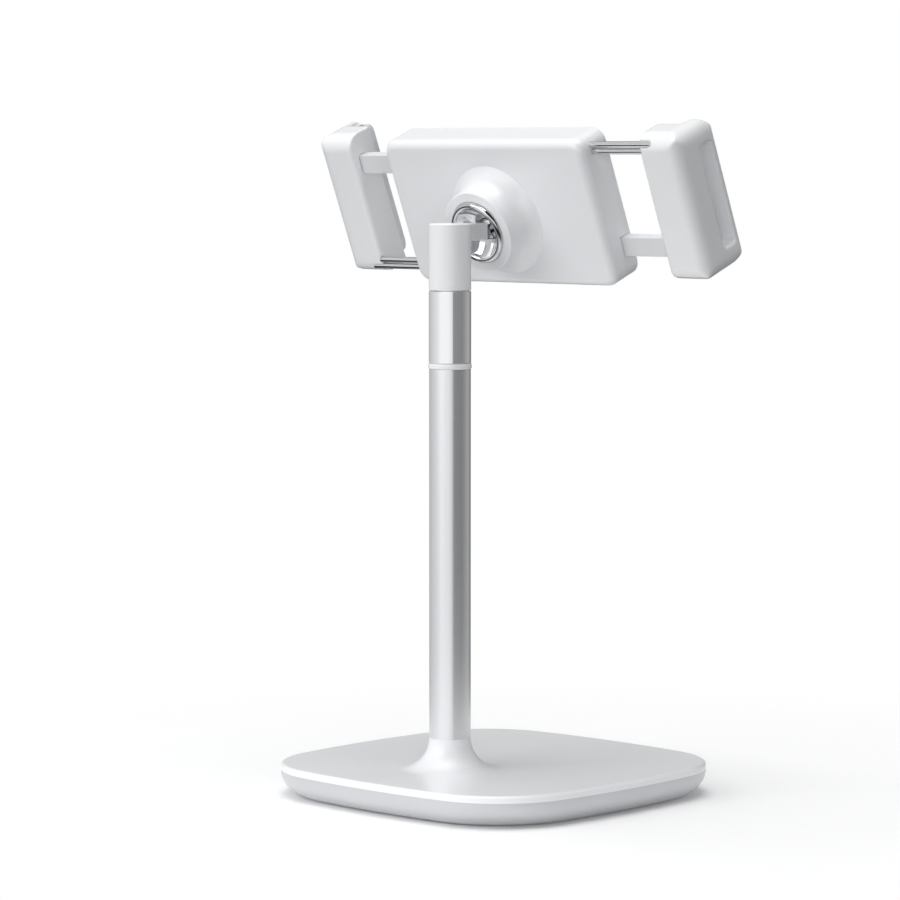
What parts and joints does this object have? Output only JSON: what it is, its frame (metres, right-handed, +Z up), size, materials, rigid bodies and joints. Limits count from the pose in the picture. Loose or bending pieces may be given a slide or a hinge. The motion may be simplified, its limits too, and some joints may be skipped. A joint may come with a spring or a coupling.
{
  "type": "tablet stand",
  "caption": "Desk stand for a tablet: weighted base, telescopic pole with a twist collar, ball joint and a spring clamp with sliding jaws.",
  "frame": {"origin": "centre of the underside of the base, on the table top", "axes": "+Z up along the pole, -Y towards the user, +X to the right as seen from the front"},
  "size_m": [0.236, 0.178, 0.3278],
  "materials": {
    "foot_rubber": "matt anti-slip rubber",
    "silver_band": "satin silver-grey paint on plastic",
    "white_shell": "satin white",
    "weight_iron": "raw casting",
    "screw_steel": "zinc plated",
    "inner_plastic": "moulded acetal",
    "tube_aluminium": "satin anodised",
    "white_ring": "glossy white",
    "collar_aluminium": "turned and bright",
    "inner_tube_aluminium": "polished",
    "spring_steel": "oiled spring steel",
    "white_cap": "satin white",
    "insert_brass": "turned",
    "ball_chrome": "mirror chrome",
    "friction_plastic": "natural polymer",
    "seat_plastic": "glass-filled polymer",
    "plate_steel": "zinc plated sheet",
    "white_cover": "satin white",
    "white_plate": "satin white",
    "soft_pad": "soft silicone",
    "gear_plastic": "moulded acetal",
    "white_jaw": "glossy white",
    "rail_white": "satin light grey",
    "rod_steel": "polished rod",
    "grip_rubber": "soft silicone"
  },
  "bodies": {
    "base": {"foot_pad": "foot_rubber", "base_band": "silver_band", "base_shell": "white_shell", "counterweight": "weight_iron", "band_screws": "screw_steel", "weight_screws": "screw_steel", "tube_plug": "inner_plastic", "tie_bolt": "screw_steel", "tie_washer": "screw_steel", "outer_tube": "tube_aluminium", "collet": "white_ring"},
    "collar": {"lock_collar": "collar_aluminium", "collar_liner": "inner_plastic", "wedge_ring": "inner_plastic"},
    "guide": {"guide_bush": "inner_plastic", "circlip": "spring_steel"},
    "mast": {"inner_tube": "inner_tube_aluminium", "end_plug": "inner_plastic", "head_cap": "white_cap", "arm_insert": "insert_brass", "ball": "ball_chrome", "ball_screw": "screw_steel"},
    "pan": {"friction_pad": "friction_plastic"},
    "seat": {"seat_cup": "seat_plastic", "pressure_disc": "seat_plastic"},
    "holder": {"disc_spring": "spring_steel", "retainer_plate": "plate_steel", "retainer_screws": "screw_steel", "rear_cover": "white_cover", "front_plate": "white_plate", "front_pad": "soft_pad", "cover_screws": "screw_steel", "pinion_axle": "screw_steel"},
    "gear": {"pinion": "gear_plastic"},
    "right_jaw": {"jaw_right": "white_jaw", "rack_right": "rail_white", "guide_rods_right": "rod_steel", "grip_pads_right": "grip_rubber", "jaw_screw_right": "screw_steel", "return_spring_right": "spring_steel"},
    "left_jaw": {"jaw_left": "white_jaw", "rack_left": "rail_white", "guide_rods_left": "rod_steel", "grip_pads_left": "grip_rubber", "jaw_screw_left": "screw_steel", "return_spring_left": "spring_steel"}
  },
  "joints": [
    {"name": "collar_twist", "type": "hinge", "parent": "base", "child": "collar", "pos_m": [0, 0.031, 0.23], "axis": [0, 0, 1], "range_deg": [0, 90]},
    {"name": "height", "type": "slide", "parent": "base", "child": "guide", "axis": [0, 0, 1], "range_m": [0, 0.13]},
    {"name": "mast_swivel", "type": "hinge", "parent": "guide", "child": "mast", "pos_m": [0, 0.031, 0], "axis": [0, 0, 1], "continuous": true},
    {"name": "ball_pan", "type": "hinge", "parent": "mast", "child": "pan", "pos_m": [0, 0.0075, 0.2757], "axis": [0, 0, 1], "range_deg": [-20, 20]},
    {"name": "ball_tilt", "type": "hinge", "parent": "pan", "child": "seat", "pos_m": [0, 0.0075, 0.2757], "axis": [-1, 0, 0], "range_deg": [-34, 25]},
    {"name": "holder_spin", "type": "hinge", "parent": "seat", "child": "holder", "pos_m": [0, 0.0075, 0.2757], "axis": [0, -0.9272, 0.3746], "continuous": true},
    {"name": "jaw_right_slide", "type": "slide", "parent": "holder", "child": "right_jaw", "axis": [1, 0, 0], "range_m": [-0.028, 0.003], "deforming": ["return_spring_right"]},
    {"name": "jaw_left_slide", "type": "slide", "parent": "holder", "child": "left_jaw", "axis": [-1, 0, 0], "range_m": [-0.028, 0.003], "deforming": ["return_spring_left"]},
    {"name": "gear_spin", "type": "hinge", "parent": "holder", "child": "gear", "pos_m": [0, 0.00862, 0.27848], "axis": [0, -0.9272, 0.3746], "range_deg": [-12, 107.5]}
  ],
  "couplings": [
    {"joint": "jaw_left_slide", "follows": "jaw_right_slide", "ratio": 1},
    {"joint": "gear_spin", "follows": "jaw_right_slide", "rad_per_m": -66.667}
  ]
}
